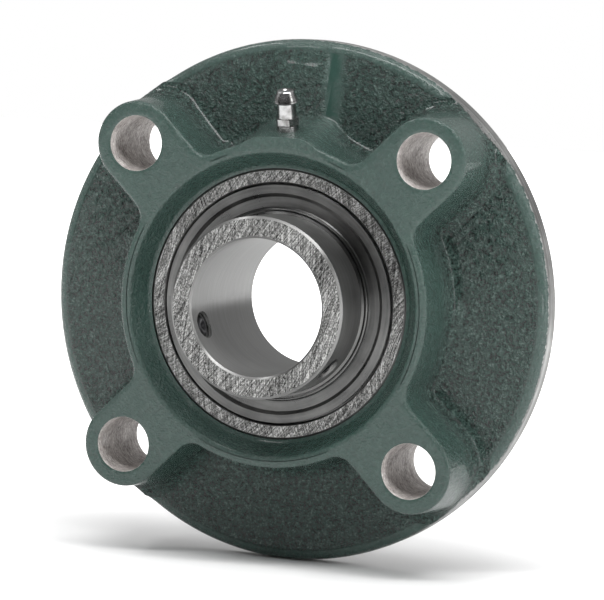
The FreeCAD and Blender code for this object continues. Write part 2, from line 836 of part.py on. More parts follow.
def make_seal_lip(name, side):
    """Rubber lip bonded to the core, just clear of the inner ring."""
    body = new_body(name)
    low = D["seal_height"] + SEAL_PLAY
    high = low + SEAL_SHEET
    sketch = profile_sketch(body, "lip_outline")
    draw(sketch, [
        (as_size(SEAL_BOND_RADIUS), at(side, low)),
        (as_size(SEAL_BOND_RADIUS), at(side, high)),
        (as_size(LIP_ROOT_RADIUS), at(side, high)),
        (as_size(LIP_NECK_RADIUS), at(side, high + LIP_RISE)),
        (as_size(SEAL_LIP_BORE), at(side, high + LIP_RISE)),
        (as_size(SEAL_LIP_BORE), at(side, high + LIP_RISE - LIP_EDGE)),
        (as_size(LIP_NECK_RADIUS), at(side, high - LIP_EDGE)),
        (as_size(LIP_ROOT_RADIUS), at(side, low)),
    ])
    turn_profile(body, "lip", sketch)
    return body


SLINGER_FIT = 0.02
SLINGER_RIM_HEIGHT = 10.2
SLINGER_DISH_HEIGHT = 9.5
SLINGER_RIM_RADIUS = 30.5
SLINGER_RIM_INNER = 28.3
SLINGER_DISH_OUTER = 27.4
SLINGER_DISH_INNER = 24.85
SLINGER_EDGE = 0.15
# The collar's ribs, from the dish to the ring: radius and height above the dish.
SLINGER_COLLAR = ((24.6, 0.25), (24.45, 1.0), (24.2, 1.1), (24.05, 0.5), (23.85, 0.5), (23.7, 1.4))
SLINGER_COLLAR_TOP = 1.6


def make_slinger(name, side):
    """Pressed steel slinger on the inner ring: a flat rim, a dished channel and a collar."""
    body = new_body(name)
    gauge = D["sheet_gauge"]
    rim_top = as_size(SLINGER_RIM_HEIGHT)
    dish_top = as_size(SLINGER_DISH_HEIGHT)
    rim = as_size(SLINGER_RIM_RADIUS)
    fit = inner_radius + SLINGER_FIT
    collar = [(as_size(radius), at(side, dish_top + rise)) for radius, rise in SLINGER_COLLAR]
    sketch = profile_sketch(body, "slinger_outline")
    draw(sketch, [
        (fit, at(side, dish_top - gauge)),
        (gauge * 0.5 + SLINGER_DISH_OUTER, at(side, dish_top - gauge)),
        (gauge * 0.5 + SLINGER_RIM_INNER, at(side, rim_top - gauge)),
        (rim - SLINGER_EDGE, at(side, rim_top - gauge)),
        (rim, at(side, rim_top - SLINGER_EDGE)),
        (rim - SLINGER_EDGE, at(side, rim_top)),
        (as_size(SLINGER_RIM_INNER), at(side, rim_top)),
        (as_size(SLINGER_DISH_OUTER), at(side, dish_top)),
        (as_size(SLINGER_DISH_INNER), at(side, dish_top)),
        *collar,
        (fit, at(side, dish_top + SLINGER_COLLAR_TOP)),
    ])
    turn_profile(body, "slinger", sketch)
    return body


# ---------------------------------------------------------------------------
# Set screws
# ---------------------------------------------------------------------------

SCREW_THREAD_DEPTH = 0.5
CUP_RADIUS = 1.5
CUP_EDGE = 1.9
CUP_DEPTH = 0.9
POINT_LENGTH = 0.6
SCREW_BEVEL = 0.4
SOCKET_FLATS = 4.0
SOCKET_DEPTH = 2.4


def make_set_screw(name, angle):
    """Hexagon socket set screw with a cup point, lying along a radius of the inner ring."""
    body = new_body(name)
    along = direction(angle)
    crest = D["thread_minor_dia"] / 2 - D["thread_play"]
    valley = crest - SCREW_THREAD_DEPTH
    point = D["screw_inner_end"]
    end = point + D["screw_length"]
    sketch = new_sketch(body, "screw_outline", along, FRONT, FRONT * screw_height.value)
    sketch.setExpression("AttachmentOffset.Base.y", (-screw_height).text)
    draw(sketch, [
        (point + CUP_DEPTH, 0),
        (point, CUP_RADIUS),
        (point, CUP_EDGE),
        (point + POINT_LENGTH, valley),
        *thread_outline(point + POINT_LENGTH + 0.15, end - 0.5, valley, crest),
        (end - SCREW_BEVEL, crest),
        (end, crest - SCREW_BEVEL),
        (end, 0),
    ])
    turn_profile(body, "threaded_blank", sketch, axis="H_Axis")
    volume = volume_after(body)
    place = along * end.value + FRONT * screw_height.value
    socket = new_sketch(body, "socket_outline", FRONT, along.cross(FRONT), place)
    draw_hexagon(socket, as_size(SOCKET_FLATS))
    extrude(body, "socket", socket, as_size(SOCKET_DEPTH), cut=True)
    if volume_after(body) >= volume - 1e-3:
        body.Tip.Reversed = True
    must_shrink(body, volume, "broaching the socket")
    return body


# ---------------------------------------------------------------------------
# Grease nipple
# ---------------------------------------------------------------------------

NIPPLE_CHANNEL = 1.3
CHECK_BALL_RADIUS = 1.1
CHECK_BALL_HEIGHT = 8.75
SPRING_WIRE = 0.16
SPRING_RADIUS = 0.95
SPRING_FOOT = 3.2
SPRING_PITCH = 0.75
SPRING_GAP = 0.1
NIPPLE_REACH = 6.0
NIPPLE_TIP_BEVEL = 0.35
COLLAR_RADIUS = 2.8
COLLAR_HEIGHT = 1.5
HEX_START = 1.7
HEX_END = 3.4
NECK_FOOT_RADIUS = 2.5
NECK_TOP_RADIUS = 2.3
NECK_END = 7.1
BEAD_RADIUS = 3.05
BEAD_END = 8.0
HEAD_RADIUS = 3.0
HEAD_START = 8.15
HEAD_TOP_RADIUS = 2.2
HEAD_BEVEL = 0.2
FEED_RADIUS = 1.0
ORIFICE_RADIUS = 0.75
ORIFICE_START = 9.8
ORIFICE_BEVEL = 0.3


def make_grease_nipple():
    """Straight conical-head grease nipple, screwed into the pad on the hub."""
    body = new_body("grease_nipple")
    thread = D["nipple_thread_dia"] / 2
    top = D["nipple_length"]
    half_hex = D["nipple_hex"] / 2 - NIPPLE_TIP_BEVEL
    bead_middle = (NECK_END + BEAD_END) / 2
    sketch = new_sketch(body, "nipple_outline", *nipple_axes(), nipple_foot())
    bind_nipple_foot(sketch)
    draw(sketch, [
        (0, -NIPPLE_REACH),
        (thread - NIPPLE_TIP_BEVEL, -NIPPLE_REACH),
        (thread, -NIPPLE_REACH + NIPPLE_TIP_BEVEL),
        (thread, 0),
        (COLLAR_RADIUS, 0),
        (COLLAR_RADIUS, COLLAR_HEIGHT),
        (half_hex, HEX_START),
        (half_hex, HEX_END),
        (NECK_FOOT_RADIUS, HEX_END),
        (NECK_TOP_RADIUS, NECK_END),
        (BEAD_RADIUS - HEAD_BEVEL, NECK_END + HEAD_BEVEL),
        (BEAD_RADIUS, bead_middle),
        (BEAD_RADIUS - HEAD_BEVEL, BEAD_END - HEAD_BEVEL / 2),
        (NECK_FOOT_RADIUS, BEAD_END),
        (HEAD_RADIUS, HEAD_START),
        (as_size(HEAD_TOP_RADIUS), top - HEAD_BEVEL),
        (as_size(HEAD_TOP_RADIUS - HEAD_BEVEL), top),
        (0, top),
    ])
    turn_profile(body, "nipple_blank", sketch)
    side_axis = V(1, 0, 0)
    hexagon = new_sketch(body, "hexagon_outline", side_axis, nipple_axis().cross(side_axis),
                         nipple_foot() + nipple_axis() * HEX_START)
    draw_hexagon(hexagon, D["nipple_hex"])
    extrude(body, "hexagon", hexagon, as_size(HEX_END - HEX_START))
    volume = volume_after(body)
    channel = new_sketch(body, "channel_outline", *nipple_axes(), nipple_foot())
    bind_nipple_foot(channel)
    draw(channel, [
        (0, -NIPPLE_REACH - CLEAR),
        (FEED_RADIUS, -NIPPLE_REACH - CLEAR),
        (FEED_RADIUS, SPRING_FOOT - SPRING_GAP),
        (NIPPLE_CHANNEL, SPRING_FOOT - SPRING_GAP),
        (NIPPLE_CHANNEL, CHECK_BALL_HEIGHT),
        (ORIFICE_RADIUS, ORIFICE_START),
        (as_size(ORIFICE_RADIUS), top - ORIFICE_BEVEL),
        (as_size(ORIFICE_RADIUS + ORIFICE_BEVEL * 2), top + ORIFICE_BEVEL),
        (0, top + ORIFICE_BEVEL),
    ])
    turn_profile(body, "channel", channel, cut=True)
    must_shrink(body, volume, "drilling the nipple")
    return body


def make_nipple_ball():
    ball = new_primitive("Sphere", "nipple_ball", Radius=as_size(CHECK_BALL_RADIUS))
    ball.Label = "nipple_ball"
    ball.Placement = FreeCAD.Placement(nipple_foot() + nipple_axis() * CHECK_BALL_HEIGHT,
                                       FreeCAD.Rotation())
    return ball


def make_nipple_spring():
    """Coil spring that presses the check ball against its seat."""
    height = CHECK_BALL_HEIGHT - CHECK_BALL_RADIUS - SPRING_FOOT + SPRING_GAP
    helix = Part.makeHelix(SPRING_PITCH, height, SPRING_RADIUS)
    start = helix.Edges[0].valueAt(helix.Edges[0].FirstParameter)
    way = helix.Edges[0].tangentAt(helix.Edges[0].FirstParameter)
    ring = Part.Wire([Part.makeCircle(SPRING_WIRE, start, way)])
    coil = Part.Wire(helix.Edges).makePipeShell([ring], True, True)
    spring = doc.addObject("Part::Feature", "nipple_spring")
    spring.Label = "nipple_spring"
    spring.Shape = coil
    turn = FreeCAD.Rotation(V(0, 0, 1), nipple_axis())
    spring.Placement = FreeCAD.Placement(nipple_foot() + nipple_axis() * (SPRING_FOOT + SPRING_GAP), turn)
    return spring


# ---------------------------------------------------------------------------
# Assembly
# ---------------------------------------------------------------------------

def build_all():
    pieces = [make_housing(), make_outer_ring(), make_inner_ring()]
    pieces += make_balls()
    pieces += [make_cage_half("cage_front", 1), make_cage_half("cage_back", -1), make_cage_rivets()]
    for side, word in ((1, "front"), (-1, "back")):
        pieces.append(make_seal_core(f"seal_core_{word}", side))
        pieces.append(make_seal_lip(f"seal_lip_{word}", side))
        pieces.append(make_slinger(f"slinger_{word}", side))
    for number, angle in enumerate(SCREW_ANGLES, start=1):
        pieces.append(make_set_screw(f"set_screw_{number}", angle))
    pieces += [make_grease_nipple(), make_nipple_ball(), make_nipple_spring()]
    return pieces


def check(pieces):
    """Stop on any failed object or unsound shape."""
    for item in doc.Objects:
        if "Invalid" in item.State or "Error" in item.State:
            raise RuntimeError(f"{item.Name} failed: {item.State}")
    for piece in pieces:
        shape = piece.Shape
        if shape.isNull() or not shape.isValid() or not shape.Solids:
            raise RuntimeError(f"{piece.Label} is not a sound solid")


pieces = build_all()
doc.recompute()
check(pieces)
os.makedirs("parts", exist_ok=True)
for piece in pieces:
    piece.Shape.exportStep(f"parts/{piece.Label}.step")
    print(f"{piece.Label:18s} {len(piece.Shape.Solids)} solid(s) {piece.Shape.Volume:12.2f} mm3")
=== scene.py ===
import math

import bmesh
import bpy
from mathutils import Matrix, Vector, noise


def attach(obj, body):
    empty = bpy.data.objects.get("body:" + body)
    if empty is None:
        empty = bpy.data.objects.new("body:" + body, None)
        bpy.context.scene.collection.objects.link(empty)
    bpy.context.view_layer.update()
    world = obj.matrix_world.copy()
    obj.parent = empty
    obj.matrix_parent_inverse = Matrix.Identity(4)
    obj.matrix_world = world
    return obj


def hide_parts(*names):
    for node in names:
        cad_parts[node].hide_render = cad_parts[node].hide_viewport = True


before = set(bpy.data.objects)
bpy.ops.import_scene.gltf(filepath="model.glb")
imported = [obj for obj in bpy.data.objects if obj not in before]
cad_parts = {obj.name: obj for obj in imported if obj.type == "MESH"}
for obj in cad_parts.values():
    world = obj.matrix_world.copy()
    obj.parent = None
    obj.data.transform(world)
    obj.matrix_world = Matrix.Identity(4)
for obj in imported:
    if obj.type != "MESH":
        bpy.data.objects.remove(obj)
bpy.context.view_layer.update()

# Flange mount bearing: looks for the CAD frame. Lengths in this script are millimetres unless
# a name ends in _M, and in materials, lights and the camera, which use metres. Meshes are scaled
# to metres when they are made. A height is measured from the mounting face towards the front, so
# a height w lies at y = -w.

MM = 0.001

# Sizes of the casting, as in the CAD model
FLANGE_R = 67.5
BOLT_R = 55.0
BOLT_HOLE_R = 7.0
PLATEAU = 26.0
HUB_R = 41.5
ARM_HALF = 10.9
ROOT_FILLET = 5.0
FOOT_FILLET = 3.6
WALL_DRAFT = 0.085
SPIGOT_R = 45.0
SPIGOT_DEPTH = 8.0
BEARING = 11.0
SEAT_R = 36.08
SLOT_HALF = 10.3
SEAT_PAINT_END = 19.0
RIM_TOP = 5.3
WEB_EDGE_R = 64.6
WEB_EDGE = 7.4
WEB_FOOT = 8.3
DRAFT_END = WEB_FOOT + FOOT_FILLET
NIPPLE_FOOT = 19.3
NIPPLE_R = 44.4
NIPPLE_LEAN = math.tan(math.radians(17.0))
PAD_HALF = 4.6
PAD_FALL = 0.085
PAD_BLEND = 0.8
LAND_HEIGHT = 1.5
RECESS_FOOT_R = 35.3
SLOPE_BEHIND_SEAT = 0.22

# Finish of the mesh
TURN_STEPS = 288
HOLE_STEPS = 96
WEB_STEPS = 36
SHARP_EDGE_DEG = 38
PAINT, TURNED, DRILLED = range(3)
ROUGH_GRIT = 1.0
FOOT_GRIT = 0.95
SMOOTH_GRIT = 0.2
WALL_GRIT = 0.30
EDGE_GRIT = 0.22

# Limits between finishes, as distances from the shaft axis
TURNED_FROM_M = 0.06732
BORE_WITHIN_M = 0.0177

# Camera
CAMERA_AZIMUTH = math.radians(20.232)
CAMERA_ELEVATION = math.radians(4.797)
CAMERA_ROLL = math.radians(2.718)
CAMERA_PLACE_M = (0.297365, -0.809828, 0.072106)
CAMERA_LENS = 198.05
CAMERA_SENSOR = 36.0


# ---------------------------------------------------------------------------
# Node helpers
# ---------------------------------------------------------------------------

class Nodes:
    """Short way to write a material's node tree."""

    def __init__(self, name):
        self.material = bpy.data.materials.new(name)
        self.material.use_nodes = True
        self.tree = self.material.node_tree
        self.shader = self.tree.nodes["Principled BSDF"]

    def add(self, kind, inputs=None, **settings):
        node = self.tree.nodes.new(kind)
        for key, setting in settings.items():
            setattr(node, key, setting)
        for key, source in (inputs or {}).items():
            self.feed(node.inputs[key], source)
        return node

    def feed(self, socket, source):
        if isinstance(source, bpy.types.NodeSocket):
            self.tree.links.new(source, socket)
        elif isinstance(source, bpy.types.Node):
            self.tree.links.new(source.outputs[0], socket)
        else:
            socket.default_value = source

    def math(self, operation, first, second=0.0, clamp=False):
        return self.add("ShaderNodeMath", {0: first, 1: second}, operation=operation,
                        use_clamp=clamp).outputs[0]

    def scaled(self, source, factor, offset):
        return self.math("ADD", self.math("MULTIPLY", source, factor), offset)

    def blend(self, first, share, second, other_share):
        """Weighted sum of two values."""
        return self.math("ADD", self.math("MULTIPLY", first, share),
                         self.math("MULTIPLY", second, other_share))

    def above(self, source, limit, gain):
        """How far a value is over a limit, times the gain, held between 0 and 1."""
        return self.math("MULTIPLY", self.math("SUBTRACT", source, limit), gain, clamp=True)

    def coords(self):
        return self.add("ShaderNodeTexCoord").outputs["Object"]

    def noise(self, vector, scale, detail=3.0, roughness=0.55, distortion=0.0):
        return self.add("ShaderNodeTexNoise", {"Vector": vector, "Scale": scale, "Detail": detail,
                                               "Roughness": roughness,
                                               "Distortion": distortion}).outputs["Fac"]

    def ramp(self, source, stops):
        node = self.add("ShaderNodeValToRGB", {0: source})
        ramp = node.color_ramp
        while len(ramp.elements) < len(stops):
            ramp.elements.new(0.5)
        for element, (place, colour) in zip(ramp.elements, stops):
            element.position = place
            element.color = (colour, colour, colour, 1) if isinstance(colour, float) else (*colour, 1)
        return node.outputs["Color"]

    def mix(self, share, first, second, kind="RGBA"):
        node = self.add("ShaderNodeMix", data_type=kind)
        first_index, second_index = (6, 7) if kind == "RGBA" else (2, 3)
        self.feed(node.inputs[0], share)
        self.feed(node.inputs[first_index], first)
        self.feed(node.inputs[second_index], second)
        return node.outputs[2 if kind == "RGBA" else 0]

    def bump(self, height, distance, strength=1.0, normal=None):
        inputs = {"Height": height, "Distance": distance, "Strength": strength}
        if normal is not None:
            inputs["Normal"] = normal
        return self.add("ShaderNodeBump", inputs).outputs["Normal"]

    def about_shaft(self):
        """Distance from the shaft axis, angle about it and place along it."""
        split = self.add("ShaderNodeSeparateXYZ", {0: self.coords()})
        x, y, z = split.outputs
        squares = self.math("ADD", self.math("MULTIPLY", x, x), self.math("MULTIPLY", z, z))
        return self.math("SQRT", squares), self.math("ARCTAN2", z, x), y

    def combine(self, x, y, z):
        return self.add("ShaderNodeCombineXYZ", {0: x, 1: y, 2: z}).outputs[0]

    def set(self, **values):
        for key, source in values.items():
            self.feed(self.shader.inputs[key.replace("_", " ")], source)
        return self.material


def rgb(red, green, blue):
    return (red, green, blue, 1.0)


# ---------------------------------------------------------------------------
# Materials
# ---------------------------------------------------------------------------

def turned_height(nodes, frequency=2600.0):
    """Fine rings left by a lathe tool, on faces and on cylinders alike."""
    radius, angle, along = nodes.about_shaft()
    rings = nodes.combine(nodes.math("MULTIPLY", radius, frequency), nodes.math("MULTIPLY", angle, 1.5),
                          nodes.math("MULTIPLY", along, frequency))
    return nodes.noise(rings, 1.0, 2.0)


def bare_iron_parts(nodes):
    """Colour, roughness and height of freshly turned cast iron."""
    coords = nodes.coords()
    rings = turned_height(nodes)
    blotch = nodes.noise(coords, 90.0, 4.0)
    grains = nodes.noise(coords, 2200.0, 3.0)
    tone = nodes.blend(rings, 0.55, blotch, 0.45)
    colour = nodes.ramp(tone, [(0.35, (0.09, 0.089, 0.086)), (0.5, (0.22, 0.22, 0.215)),
                               (0.65, (0.45, 0.45, 0.44))])
    rough = nodes.scaled(blotch, 0.25, 0.34)
    height = nodes.blend(rings, 0.7, grains, 0.5)
    return colour, rough, height


def paint_material():
    """Glossy dark green-grey enamel over sand-cast iron, bare where the outside was turned.

    The mesh attribute grit says how strongly the sand texture shows, and with it the painted shade in its
    pits and the painted glints on its crests.
    """
    nodes = Nodes("casting_paint")
    coords = nodes.coords()
    grit = nodes.add("ShaderNodeAttribute", attribute_name="grit").outputs["Fac"]
    coarse = nodes.noise(coords, 760.0, 3.0, 0.6, 0.3)
    fine = nodes.noise(coords, 2000.0, 2.0, 0.6)
    cells = nodes.add("ShaderNodeTexVoronoi", {"Vector": coords, "Scale": 1150.0, "Smoothness": 0.45},
                      feature="SMOOTH_F1").outputs["Distance"]
    lumps = nodes.blend(coarse, 0.75, cells, -0.25)
    lumps = nodes.math("ADD", lumps, nodes.math("MULTIPLY", fine, 0.75))
    peel = nodes.noise(coords, 330.0, 2.0, 0.5)
    height = nodes.math("ADD", nodes.math("MULTIPLY", lumps, grit), nodes.math("MULTIPLY", peel, 0.05))
    tone = nodes.noise(coords, 38.0, 4.0, 0.6)
    paint = nodes.ramp(tone, [(0.3, (0.022, 0.050, 0.041)), (0.7, (0.029, 0.062, 0.051))])
    # Painted shade: near-black mixed into the low spots of the sand grain, where shade would fall, scaled
    # by grit.
    hollow = nodes.math("MULTIPLY", nodes.math("SUBTRACT", 0.63, lumps), 6.0)
    hollow = nodes.math("MULTIPLY", hollow, grit, clamp=True)
    paint = nodes.mix(hollow, paint, rgb(0.005, 0.014, 0.011))
    # Painted glints: pale green specks mixed into the high spots of the sand grain, standing in for
    # highlights, scaled by grit.
    crest_glint = nodes.math("MULTIPLY", nodes.math("SUBTRACT", lumps, 0.69), 6.0)
    crest_glint = nodes.math("MULTIPLY", nodes.math("MULTIPLY", crest_glint, grit, clamp=True), 0.55)
    paint = nodes.mix(crest_glint, paint, rgb(0.13, 0.20, 0.175))
    iron, iron_rough, iron_height = bare_iron_parts(nodes)
    radius, _, _ = nodes.about_shaft()
    ragged = nodes.math("MULTIPLY", nodes.math("SUBTRACT", coarse, 0.5), 0.0011)
    bare = nodes.above(nodes.math("ADD", radius, ragged), TURNED_FROM_M, 9000.0)
    colour = nodes.mix(bare, paint, iron)
    rough = nodes.mix(bare, nodes.scaled(fine, 0.12, 0.09), iron_rough, "FLOAT")
    bare_height = nodes.math("MULTIPLY", nodes.math("MULTIPLY", iron_height, bare), 0.35)
    normal = nodes.bump(bare_height, 0.0002, 0.5, nodes.bump(height, 0.0021))
    material = nodes.set(Base_Color=colour, Roughness=rough, Metallic=nodes.math("MULTIPLY", bare, 0.5),
                         Normal=normal)
    nodes.shader.inputs["Coat Weight"].default_value = 0.3
    nodes.shader.inputs["Coat Roughness"].default_value = 0.08
    nodes.shader.inputs["IOR"].default_value = 1.5
    return material


def turned_iron_material():
    nodes = Nodes("turned_iron")
    colour, rough, height = bare_iron_parts(nodes)
    return nodes.set(Base_Color=colour, Roughness=rough, Metallic=0.9,
                     Normal=nodes.bump(height, 0.00012, 0.55))


def drilled_iron_material():
    """Walls of the bolt holes: torn grains, short drill marks and a brownish cast."""
    nodes = Nodes("drilled_iron")
    coords = nodes.coords()
    split = nodes.add("ShaderNodeSeparateXYZ", {0: coords})
    stretched = nodes.combine(nodes.math("MULTIPLY", split.outputs[0], 700.0),
                              nodes.math("MULTIPLY", split.outputs[1], 2100.0),
                              nodes.math("MULTIPLY", split.outputs[2], 700.0))
    marks = nodes.noise(stretched, 1.0, 3.0, 0.6)
    grains = nodes.noise(coords, 1500.0, 3.0, 0.65)
    blotch = nodes.noise(coords, 180.0, 3.0, 0.6)
    tone = nodes.blend(marks, 0.40, grains, 0.35)
    tone = nodes.math("ADD", tone, nodes.math("MULTIPLY", blotch, 0.25))
    colour = nodes.ramp(tone, [(0.36, (0.09, 0.074, 0.068)), (0.46, (0.34, 0.31, 0.295)),
                               (0.54, (0.54, 0.51, 0.49)), (0.64, (0.82, 0.80, 0.78))])
    rough = nodes.scaled(grains, 0.3, 0.42)
    return nodes.set(Base_Color=colour, Roughness=rough, Metallic=0.25,
                     Normal=nodes.bump(tone, 0.0005, 0.8))


def brushed_round(nodes, amount):
    """Spread the highlights across lines that run round the shaft."""
    tangent = nodes.add("ShaderNodeTangent", direction_type="RADIAL", axis="Y")
    nodes.feed(nodes.shader.inputs["Tangent"], tangent)
    nodes.shader.inputs["Anisotropic"].default_value = amount
    nodes.shader.inputs["Anisotropic Rotation"].default_value = 0.25


def ground_steel_material():
    """Bearing rings: crossing arcs from face grinding on the ends, fine rings elsewhere."""
    nodes = Nodes("ground_steel")
    coords = nodes.coords()
    arcs = []
    for number, centre_x in enumerate((-0.047, 0.052)):
        centre = (centre_x, -0.02, 0.015 - 0.03 * number)
        away = nodes.add("ShaderNodeVectorMath", {0: coords, 1: centre},
                         operation="DISTANCE").outputs["Value"]
        drift = nodes.noise(coords, 620.0, 2.0)
        line = nodes.combine(nodes.math("MULTIPLY", away, 3600.0), nodes.math("MULTIPLY", drift, 3.0),
                             float(number))
        arcs.append(nodes.noise(line, 1.0, 2.0, 0.65))
    crossing = nodes.math("MULTIPLY", nodes.math("ADD", arcs[0], arcs[1]), 0.38)
    grains = nodes.noise(coords, 2300.0, 2.0)
    crossing = nodes.math("ADD", crossing, nodes.math("MULTIPLY", grains, 0.24))
    geometry = nodes.add("ShaderNodeNewGeometry").outputs["Normal"]
    facing = nodes.math("ABSOLUTE", nodes.add("ShaderNodeSeparateXYZ", {0: geometry}).outputs[1])
    on_face = nodes.above(facing, 0.93, 20.0)
    rings = turned_height(nodes, 1800.0)
    height = nodes.mix(on_face, rings, crossing, "FLOAT")
    smear = nodes.noise(coords, 70.0, 4.0)
    face_colour = nodes.ramp(crossing, [(0.41, (0.03, 0.03, 0.0295)), (0.48, (0.14, 0.14, 0.137)),
                                        (0.53, (0.26, 0.26, 0.255)), (0.61, (0.62, 0.62, 0.61))])
    round_tone = nodes.blend(rings, 0.4, smear, 0.6)
    round_colour = nodes.ramp(round_tone, [(0.3, (0.13, 0.13, 0.128)), (0.7, (0.25, 0.25, 0.246))])
    radius, _, _ = nodes.about_shaft()
    in_bore = nodes.math("MULTIPLY", nodes.math("SUBTRACT", BORE_WITHIN_M, radius), 6000.0, clamp=True)
    bore_colour = nodes.ramp(round_tone, [(0.3, (0.19, 0.19, 0.187)), (0.7, (0.28, 0.28, 0.276))])
    round_colour = nodes.mix(in_bore, round_colour, bore_colour)
    colour = nodes.mix(on_face, round_colour, face_colour)
    rough = nodes.mix(on_face, nodes.scaled(smear, 0.12, 0.30), nodes.scaled(smear, 0.16, 0.34), "FLOAT")
    strength = nodes.scaled(on_face, 0.55, 0.10)
    brushed_round(nodes, 0.75)
    return nodes.set(Base_Color=colour, Roughness=rough, Metallic=1.0,
                     Normal=nodes.bump(height, 0.00010, strength))


def steel_material(name, low, high, rough_low, rough_span, bump=0.2, scale=1400.0, brushed=0.0):
    """Plain worked steel: tone and gloss that wander, with fine turned or drawn lines."""
    nodes = Nodes(name)
    coords = nodes.coords()
    rings = turned_height(nodes, scale)
    smear = nodes.noise(coords, 110.0, 4.0)
    tone = nodes.blend(rings, 0.4, smear, 0.6)
    colour = nodes.ramp(tone, [(0.3, low), (0.7, high)])
    rough = nodes.scaled(smear, rough_span, rough_low)
    if brushed:
        brushed_round(nodes, brushed)
    return nodes.set(Base_Color=colour, Roughness=rough, Metallic=1.0,
                     Normal=nodes.bump(rings, 0.00005, bump))


def rubber_material():
    nodes = Nodes("seal_rubber")
    coords = nodes.coords()
    grain = nodes.noise(coords, 1800.0, 3.0)
    colour = nodes.ramp(grain, [(0.3, (0.012, 0.012, 0.012)), (0.7, (0.03, 0.03, 0.03))])
    rough = nodes.scaled(grain, 0.2, 0.5)
    return nodes.set(Base_Color=colour, Roughness=rough, Normal=nodes.bump(grain, 0.00005, 0.4))


def zinc_material():
    """Bright zinc plate on the grease nipple, with a faint warm bloom."""
    nodes = Nodes("zinc_plate")
    coords = nodes.coords()
    bloom = nodes.noise(coords, 400.0, 4.0)
    fine = nodes.noise(coords, 2600.0, 2.0)
    colour = nodes.ramp(bloom, [(0.35, (0.16, 0.157, 0.152)), (0.65, (0.42, 0.42, 0.42))])
    rough = nodes.scaled(bloom, 0.12, 0.18)
    return nodes.set(Base_Color=colour, Roughness=rough, Metallic=1.0,
                     Normal=nodes.bump(fine, 0.00004, 0.3))


# ---------------------------------------------------------------------------
# Casting: outline of the hub and the four arms
# ---------------------------------------------------------------------------

def arc_run(centre, radius, start, finish, steps, inward=False):
    """Points on an arc with their outward normals; inward marks a hollow corner."""
    run = []
    for step in range(steps):
        turn = math.radians(start + (finish - start) * step / steps)
        way = Vector((math.cos(turn), math.sin(turn)))
        run.append((centre + way * radius, -way if inward else way))
    return run


def arm_outline():
    """Half valley, arm and half valley, in the arm's own frame with the arm along +x."""
    root_x = math.sqrt((HUB_R + ROOT_FILLET) ** 2 - (ARM_HALF + ROOT_FILLET) ** 2)
    root_y = ARM_HALF + ROOT_FILLET
    root_angle = math.degrees(math.atan2(root_y, root_x))
    run = arc_run(Vector((0, 0)), HUB_R, -45, -root_angle, 22)
    run += arc_run(Vector((root_x, -root_y)), ROOT_FILLET, 180 - root_angle, 90, 14, inward=True)
    for step in range(16):
        x = root_x + (BOLT_R - root_x) * step / 16
        run.append((Vector((x, -ARM_HALF)), Vector((0, -1))))
    run += arc_run(Vector((BOLT_R, 0)), ARM_HALF, -90, 90, 52)
    for step in range(16):
        x = BOLT_R + (root_x - BOLT_R) * step / 16
        run.append((Vector((x, ARM_HALF)), Vector((0, 1))))
    run += arc_run(Vector((root_x, root_y)), ROOT_FILLET, 270, 180 + root_angle, 14, inward=True)
    run += arc_run(Vector((0, 0)), HUB_R, root_angle, 45, 22)
    return run


def whole_outline():
    points = []
    for arm in range(4):
        turn = Matrix.Rotation(math.radians(45 + 90 * arm), 2)
        points += [(turn @ place, turn @ normal) for place, normal in arm_outline()]
    return points


def smooth_step(low, high, number):
    share = min(max((number - low) / (high - low), 0.0), 1.0)
    return share * share * (3 - 2 * share)


def land_share(x, z):
    """How much a place belongs to the raised land under the grease nipple."""
    if z < 0:
        return 0.0
    return 1.0 - smooth_step(6.0, 10.5, abs(x))


def land_gloss(x, z):
    """How smooth the paint is on and beside the land: its right slope took the least sand."""
    if z < 0:
        return 0.0
    return smooth_step(4.5, 7.0, x) * (1.0 - smooth_step(9.5, 12.0, x)) + 0.2 * land_share(x, z)


def soft_max(first, second, blend):
    """The larger of two numbers, with a rounded change-over."""
    if abs(first - second) > 12 * blend:
        return max(first, second)
    top = max(first, second)
    return top + blend * math.log(math.exp((first - top) / blend) + math.exp((second - top) / blend))


def web_height(x, z):
    """Height of the flange's front face."""
    radius = math.hypot(x, z)
    out = smooth_step(44.0, WEB_EDGE_R, radius)
    height = WEB_FOOT + (WEB_EDGE - WEB_FOOT) * out
    near_rim = smooth_step(58.0, WEB_EDGE_R, radius)
    return height + LAND_HEIGHT * land_share(x, z) * (1 - 0.75 * near_rim)


def with_nipple_pad(x, z, height):
    """Push the top of the hub's wall out to the pad that leans towards the front."""
    if z < 30 or abs(x) > 16:
        return z
    pad = NIPPLE_R - (height - NIPPLE_FOOT) * NIPPLE_LEAN
    slack = max(abs(x) - PAD_HALF, 0.0)
    pad -= PAD_FALL * slack * slack
    return soft_max(z, pad, PAD_BLEND)


def sand(x, z, height, amount):
    """Unevenness of the casting, in millimetres along the normal."""
    place = Vector((x, z, height))
    wave = noise.noise(place * 0.16) * 0.10
    lump = noise.noise(place * 0.55) * 0.11
    grain = noise.noise(place * 1.3) * 0.07
    return wave * 0.4 + (lump * 0.6 + grain) * amount


# ---------------------------------------------------------------------------
# Casting: mesh
# ---------------------------------------------------------------------------

